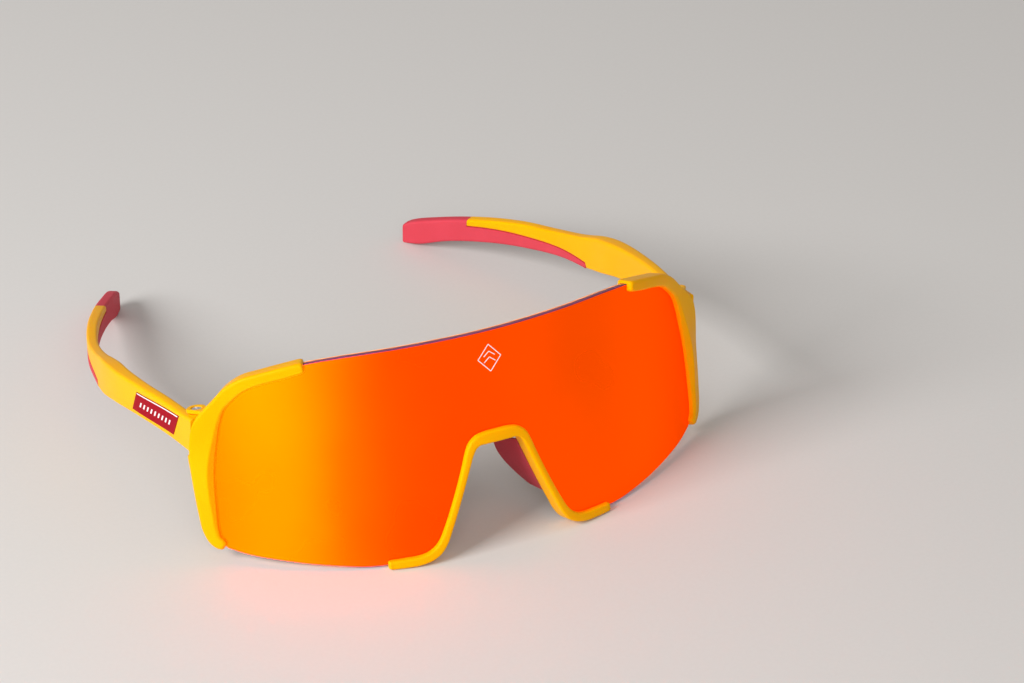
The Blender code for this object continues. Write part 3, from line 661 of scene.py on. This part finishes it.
def root_room():
    """What the temple's end needs behind the crease, which stands upright."""
    far = 13.0 * MM
    inner = -1.4 * MM
    rings = []
    for height in TEMPLE_ROOM:
        crease = (CREASE_BACK - SEAM - HINGE_BACK - height * UP.y) / UP.z
        outline = [(far, far), (far, crease), (inner, crease), (inner, far)]
        rings.append([HINGE @ Vector((x, y, height)) for x, y in outline])
    return loft(rings)


def turning_room():
    """What the barrel turns in, and the space behind the rim that the temple folds into."""
    far = 12.0 * MM
    start = -0.6 * MM
    last = -math.pi + math.asin(-start / SOCKET_RADIUS)
    outline = [(SOCKET_RADIUS * math.cos(angle), SOCKET_RADIUS * math.sin(angle))
               for angle in np.linspace(0.0, last, 30)]
    outline += [(-far, start), (-far, far), (SOCKET_RADIUS, far)]
    return hinge_prism(outline, (TEMPLE_ROOM[0] + 0.03 * MM, TEMPLE_ROOM[1] - 0.03 * MM))


def lug_form(radius, root, span, bevel=0.25 * MM):
    """A hinge lug: round behind the axis, narrowing to its root inside the rim."""
    outline = [(radius * math.cos(angle), radius * math.sin(angle))
               for angle in np.linspace(0.0, math.pi, 40)] + root
    low, high = span
    inset = [(x * (1 - bevel / radius), y * (1 - bevel / radius)) for x, y in outline]
    levels = [(inset, low), (outline, low + bevel), (outline, high - bevel), (inset, high)]
    return loft([[HINGE @ Vector((x, y, height)) for x, y in points]
                 for points, height in levels])


def screw_way():
    """The stepped hole through both lugs."""
    top = TOP_LUG[1]
    seat = top - SCREW_HEAD - SEAM
    head = SCREW_HEAD_RADIUS + SEAM
    shank = SCREW_RADIUS + SEAM
    return turned([(0.0, top + MM), (head, top + MM), (head, seat), (shank, seat),
                   (shank, LOW_LUG[0] - MM), (0.0, LOW_LUG[0] - MM)])


def add_side_rims(plastic):
    """The side rims, each with the two lugs of its hinge."""
    path = curve_through(SIDE_RIM, 0.9)
    radii = [0.25 * MM, 0.35 * MM, 1.0 * MM, 0.8 * MM, 0.6 * MM]
    rim = carve(loft(rim_rings(path, side_rim_corners, radii)), [
        (root_room(), "DIFFERENCE"),
        (turning_room(), "DIFFERENCE"),
        (lug_form(TOP_LUG_RADIUS, TOP_LUG_ROOT, TOP_LUG), "UNION"),
        (lug_form(LOW_LUG_RADIUS, LOW_LUG_ROOT, LOW_LUG), "UNION"),
        (lens_slot(), "DIFFERENCE"),
        (screw_way(), "DIFFERENCE")])
    add_pair("side_rim", rim, [plastic], ("front", "front"), "yellow_plastic", "side_rim")


def pad_stations(count):
    """Pairs of front and rear edge points down a nose pad."""
    stations = []
    for k in range(count):
        pair = []
        for table in (PAD_FRONT, PAD_REAR):
            level = table[0][2] + k / (count - 1) * (table[-1][2] - table[0][2])
            x, back = [smooth([(row[2], row[axis]) for row in reversed(table)], level)
                       for axis in (0, 1)]
            pair.append(Vector((x * MM, FRONT_Y + back * MM, level * MM)))
        stations.append(pair)
    return stations


def block_below(z, y, size):
    """A cube whose top is level with z, to cut a piece off flat."""
    bm = bmesh.new()
    bmesh.ops.create_cube(bm, size=size)
    bmesh.ops.translate(bm, verts=bm.verts, vec=(0.0, y, z - size / 2))
    return bm


def pad_post():
    """The post that carries a nose pad, from the nose rim into the pad."""
    half_thickness, half_height, reach = PAD_POST
    stations = pad_stations(9)
    front, rear = stations[4]
    back = (rear - front).normalized()
    up = (stations[3][0] - front).normalized()
    across = back.cross(up).normalized()
    up = across.cross(back).normalized()
    corners = [(-half_thickness, -half_height), (half_thickness, -half_height),
               (half_thickness, half_height), (-half_thickness, half_height)]
    section = rounded_section(corners, [0.3 * MM] * 4)
    return loft([[front + across * u + up * v + back * length for u, v in section]
                 for length in (-1.2 * MM, reach)])


def add_nose_rim(plastic):
    """The nose rim, flat under its two feet, with the posts for the nose pads."""
    half = curve_through(NOSE_RIM, 0.7)
    path = [(-s, h, w) for s, h, w in half[:-1]] + [(s, h, w) for s, h, w in reversed(half)]
    radii = [0.75 * MM, 0.75 * MM, 0.6 * MM, 0.6 * MM]
    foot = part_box("nose_rim")[0]
    post = pad_post()
    rim = carve(loft(rim_rings(path, nose_rim_corners, radii)), [
        (mirrored(post), "UNION"),
        (post, "UNION"),
        (lens_slot(), "DIFFERENCE"),
        (block_below(foot.z, FRONT_Y, 0.1), "DIFFERENCE")])
    add_piece("nose_rim_moulding", rim, [plastic], "front", "yellow_plastic", ("nose_rim",))


def add_nose_pads(rubber):
    """Soft blades behind the nose rim's legs."""
    count = 30
    rings = []
    for k, (front, rear) in enumerate(pad_stations(count)):
        t = k / (count - 1)
        back = (rear - front).normalized()
        across = back.cross(Vector((0.0, 0.0, 1.0))).normalized()
        end = math.sin(math.pi * (t * 0.9 + 0.05)) ** 0.45
        half = PAD_THICKNESS / 2 * end
        length = (rear - front).length
        corners = [(-half, 0.5 * MM * (1 - end)), (half, 0.5 * MM * (1 - end)),
                   (half, length * (0.9 + 0.1 * end)), (-half, length * (0.9 + 0.1 * end))]
        section = rounded_section(corners, [half * 0.9] * 4, 6)
        rings.append([front + across * u + back * v for u, v in section])
    pad = loft(soften_ends(rings, 0.3 * MM))
    add_pair("nose_blade", pad, [rubber], ("front", "front"), "crimson_rubber", "nose_pad",
             weighted=False)


# ---------------------------------------------------------------- temples

def temple_stations(start, end, step):
    """Distances back, about a step apart."""
    return list(np.linspace(start, end, max(2, round((end - start) / step) + 1)))


def temple_ring(back, inset, bottom, radii, lift=0.0):
    """A temple section at a distance back: depths of its outer and inner faces, bottom z."""
    key = back / MM
    outer = smooth(TEMPLE_OUTER_X, key) * MM
    slope = smooth(TEMPLE_OUTER_X, key + 0.5) - smooth(TEMPLE_OUTER_X, key - 0.5)
    inward = Vector((-1.0, slope, 0.0)).normalized()
    top = smooth(TEMPLE_TOP_Z, key) * MM + lift
    outside, inside = inset
    corners = [(outside, top), (inside, top), (inside, bottom), (outside, bottom)]
    return [Vector((outer + inward.x * u, FRONT_Y + back + inward.y * u, z))
            for u, z in rounded_section(corners, radii)]


def thickness_at(back):
    """The temple's thickness at a distance back."""
    return smooth(TEMPLE_THICKNESS, back / MM) * MM


def temple_rings():
    """The hard temple: deep front part, then the tapering rear part."""
    radii = [1.0 * MM, 1.1 * MM, 0.8 * MM, 0.8 * MM]
    rings = []
    for back in temple_stations(CREASE_BACK + SEAM, STEP_BACK - 0.35 * MM, 1.2 * MM):
        bottom = smooth(TEMPLE_BOTTOM_Z, back / MM) * MM
        rings.append(temple_ring(back, (0.0, thickness_at(back)), bottom, radii))
    radii = [0.8 * MM] * 4
    for back in temple_stations(STEP_BACK + 0.25 * MM, BORDER_BACK, 1.2 * MM):
        bottom = smooth(CORE_BOTTOM_Z, back / MM) * MM
        rings.append(temple_ring(back, (0.0, thickness_at(back)), bottom, radii))
    return rings


def core_room():
    """Cutter that takes the sleeve away above the hard temple's underside."""
    bare = 1.5 * MM
    rings = []
    for back in temple_stations(STEP_BACK - 4.0 * MM, BORDER_BACK + SEAM, 2.4 * MM):
        bottom = smooth(CORE_BOTTOM_Z, back / MM) * MM - SEAM
        rings.append(temple_ring(back, (-bare, thickness_at(back) + bare), bottom,
                                 [0.3 * MM] * 4, bare))
    return loft(rings)


def badge_rings(grow, inward, outward, count, radius):
    """Sections of the slanted plate on the temple's outer face, from front to rear."""
    front_top, front_bottom, rear_bottom, rear_top = [Vector(point) * MM for point in BADGE]
    along = (rear_top - front_top).normalized() * grow
    up = (front_top - front_bottom).normalized() * grow
    rings = []
    for t in np.linspace(0.0, 1.0, count):
        spread_by = along * (2 * t - 1)
        top = front_top.lerp(rear_top, t) + up + spread_by
        bottom = front_bottom.lerp(rear_bottom, t) - up + spread_by
        height = (top - bottom).length
        corners = [(0.0, -outward), (height, -outward), (height, inward), (0.0, inward)]
        ring = []
        for v, depth in rounded_section(corners, [radius] * 4, 3):
            point = top.lerp(bottom, v / height)
            x = smooth(TEMPLE_OUTER_X, point.x / MM) * MM - depth
            ring.append(Vector((x, FRONT_Y + point.x, point.y)))
        rings.append(ring)
    return rings


def add_temples(plastic):
    """The hard temples, each with its hinge barrel and the recess for its badge."""
    far = 9.0 * MM
    clear = SOCKET_RADIUS
    web = hinge_prism([(-far, -far), (clear * 0.99, -far), (clear * 0.99, 0.0), (-far, 0.0)],
                      (-far, BARREL[0] * 0.99))
    recess = loft(badge_rings(SEAM, BADGE_THICKNESS - BADGE_PROUD + SEAM, MM, 24, 0.02 * MM))
    low, high = BARREL
    temple = carve(loft(temple_rings()), [
        (rod(clear, -far, low), "DIFFERENCE"),
        (web, "DIFFERENCE"),
        (rod(BARREL_RADIUS, low + 0.03 * MM, high, 44), "UNION"),
        (rod(SCREW_RADIUS + SEAM, low - 0.5 * MM, high + 0.5 * MM, 40), "DIFFERENCE"),
        (recess, "DIFFERENCE")])
    add_pair("temple_arm", temple, [plastic], ("temple_right", "temple_left"),
             "yellow_plastic", "temple")


def add_sleeves(rubber):
    """Soft sleeves: strips under the temples' rear parts, then all round at the tips."""
    rings = []
    for back in temple_stations(STEP_BACK + SEAM, TIP_BACK, 1.2 * MM):
        bottom = smooth(SLEEVE_BOTTOM_Z, back / MM) * MM
        rings.append(temple_ring(back, (0.0, thickness_at(back)), bottom, [0.9 * MM] * 4))
    sleeve = carve(loft(soften_ends(rings, 0.6 * MM)), [
        (core_room(), "DIFFERENCE"),
        (block_below(0.0, 0.0, 0.2), "DIFFERENCE")])
    add_pair("temple_grip", sleeve, [rubber], ("temple_right", "temple_left"),
             "crimson_rubber", "temple_sleeve")


def badge_strip(start, end, top, bottom):
    """A printed patch on the badge, by fractions of its length and height."""
    front_top, front_bottom, rear_bottom, rear_top = [Vector(point) * MM for point in BADGE]
    lift = BADGE_PROUD + PRINT_ROOT * MM
    rings = []
    for t in np.linspace(start, end, max(2, round((end - start) * 40))):
        upper = front_top.lerp(rear_top, t)
        lower = front_bottom.lerp(rear_bottom, t)
        ring = []
        for fraction, depth in ((top, -lift), (bottom, -lift), (bottom, 0.0), (top, 0.0)):
            point = upper.lerp(lower, fraction)
            x = smooth(TEMPLE_OUTER_X, point.x / MM) * MM - depth
            ring.append(Vector((x, FRONT_Y + point.x, point.y)))
        rings.append(ring)
    return loft(rings)


def add_badges(enamel, white):
    """The inlaid badges, each with a bright line along its top and a row of plain strokes."""
    bodies = ("temple_right", "temple_left")
    rings = badge_rings(0.0, BADGE_THICKNESS - BADGE_PROUD, BADGE_PROUD, 30, 0.12 * MM)
    add_pair("badge_plate", loft(soften_ends(rings, 0.12 * MM)), [enamel], bodies,
             "badge_crimson", "badge")
    add_pair("badge_line", badge_strip(0.02, 0.98, 0.03, 0.085), [white], bodies,
             "badge_crimson", weighted=False)
    starts = [STROKE_START + STROKE_PITCH * k for k in range(STROKES)]
    strokes = joined([badge_strip(start, start + STROKE_WIDTH, *STROKE_SPAN)
                      for start in starts])
    add_pair("badge_strokes", strokes, [white], bodies, "badge_crimson", weighted=False)


def add_screws(steel):
    """Hinge screws: domed heads with a driver slot."""
    top = TOP_LUG[1] - 0.05 * MM
    edge = 0.18 * MM
    dome = [(SCREW_HEAD_RADIUS * math.sin(a), top - edge * (1 - math.cos(a) ** 2) ** 2)
            for a in np.linspace(0.0, math.pi / 2, 10)]
    profile = dome + [(SCREW_HEAD_RADIUS, top - SCREW_HEAD), (SCREW_RADIUS, top - SCREW_HEAD),
                      (SCREW_RADIUS, LOW_LUG[0] + 0.3 * MM), (0.0, LOW_LUG[0] + 0.3 * MM)]
    half = 0.17 * MM
    reach = 1.05 * MM
    depth = 0.35 * MM
    slot = hinge_prism([(-half, -reach), (half, -reach), (half, reach), (-half, reach)],
                       (top - depth, top + MM))
    screw = carve(turned(profile), [(slot, "DIFFERENCE")])
    add_pair("hinge_screw", screw, [steel], ("front", "front"), "screw_steel", "hinge_screw",
             weighted=False)


# ---------------------------------------------------------------- setting

def add_floor():
    """The table top, which is part of the setting."""
    bm = bmesh.new()
    bmesh.ops.create_grid(bm, x_segments=8, y_segments=8, size=6.0)
    floor = new_object("floor", bm)
    floor.data.materials.append(pale_floor())


def add_area(name, place, target, size, radiance):
    """A rectangular lamp of a given brightness, turned towards its target."""
    data = bpy.data.lights.new(name, "AREA")
    data.shape = "RECTANGLE"
    data.size, data.size_y = size
    data.energy = radiance * math.pi * size[0] * size[1]
    lamp = bpy.data.objects.new(name, data)
    lamp.location = place
    lamp.rotation_euler = (Vector(target) - Vector(place)).to_track_quat("-Z", "Y").to_euler()
    bpy.context.scene.collection.objects.link(lamp)
    return lamp


def add_reflected_panel(name, azimuth, elevation, size, radiance, seen_by):
    """A bright panel a metre off that only the mirror coat sees, through the floor."""
    azimuth, elevation = math.radians(azimuth), math.radians(elevation)
    target = Vector((0.0, -0.06, 0.03))
    away = Vector((math.sin(azimuth) * math.cos(elevation),
                   -math.cos(azimuth) * math.cos(elevation), math.sin(elevation)))
    lamp = add_area(name, target + away, target, size, radiance)
    lamp.light_linking.receiver_collection = seen_by
    lamp.light_linking.blocker_collection = seen_by
    lamp.visible_camera = False


def add_lights(lens):
    """A soft key from the left, a weak fill in front, a pale sky, and the lens's panels."""
    middle = (0.0, 0.0, 0.02)
    add_area("key", (-1.15, -0.25, 0.72), middle, (0.6, 0.6), 16.0)
    add_area("fill", (-0.5, -1.15, 0.75), middle, (0.8, 0.8), 2.2)
    seen_by = bpy.data.collections.new("mirror")
    seen_by.objects.link(lens)
    add_reflected_panel("left_glow", -48.0, -12.0, (0.34, 0.5), 37.0, seen_by)
    add_reflected_panel("middle_glow", -27.0, -10.0, (0.34, 0.5), 10.0, seen_by)
    add_reflected_panel("centre_glow", 18.0, -9.0, (0.8, 0.5), 1.6, seen_by)
    add_reflected_panel("right_glow", 86.0, -18.0, (1.5, 0.5), 8.0, seen_by)
    world = bpy.data.worlds.new("studio")
    world.use_nodes = True
    background = world.node_tree.nodes["Background"]
    background.inputs["Color"].default_value = (1.0, 0.97, 0.94, 1.0)
    background.inputs["Strength"].default_value = 0.36
    bpy.context.scene.world = world
    bpy.context.scene.view_settings.view_transform = "Standard"


def add_camera():
    """A long lens, looking down at the glasses from the front left."""
    data = bpy.data.cameras.new("camera")
    data.lens = 141.3
    data.sensor_width = 36.0
    data.clip_start = 0.05
    camera = bpy.data.objects.new("camera", data)
    camera.location = (-0.3708, -0.82775, 0.5513)
    aim = Vector((0.02384, -0.03215, 0.0291)) - camera.location
    camera.rotation_euler = aim.to_track_quat("-Z", "Y").to_euler()
    bpy.context.scene.collection.objects.link(camera)
    bpy.context.scene.camera = camera


def finish_inserts():
    """The threaded inserts keep their CAD shapes, and get turned brass."""
    brass = turned_metal("insert_brass", (0.8, 0.6, 0.28))
    for side in ("right", "left"):
        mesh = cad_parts[f"hinge_insert_{side}"].data
        mesh.materials.clear()
        mesh.materials.append(brass)


def main():
    """Build the setting and every piece."""
    plastic = yellow_plastic()
    rubber = soft_rubber("crimson_rubber", (0.6, 0.05, 0.075), (0.7, 0.065, 0.095))
    # The nose pads get a darker copy of the sleeve's crimson rubber: painted shade for the shadow
    # they sit in behind the lens.
    pad_rubber_painted_shade = soft_rubber("pad_rubber_painted_shade", (0.42, 0.045, 0.065), (0.5, 0.055, 0.08))
    white = white_print()
    dark_edge = lens_edge("lens_edge_dark", (0.1, 0.01, 0.05), (0.16, 0.02, 0.07), 0.3)
    light_edge = lens_edge("lens_edge_light", (1.0, 0.28, 0.05), (1.0, 0.36, 0.08), 0.35)
    add_camera()
    add_floor()
    add_lights(add_lens(mirror_coat(), lens_back(), dark_edge, light_edge))
    add_emblem(white)
    add_side_rims(plastic)
    add_nose_rim(plastic)
    add_nose_pads(pad_rubber_painted_shade)
    add_temples(plastic)
    add_sleeves(rubber)
    add_badges(badge_enamel(), white)
    add_screws(turned_metal("screw_steel", (0.92, 0.92, 0.94)))
    finish_inserts()


main()
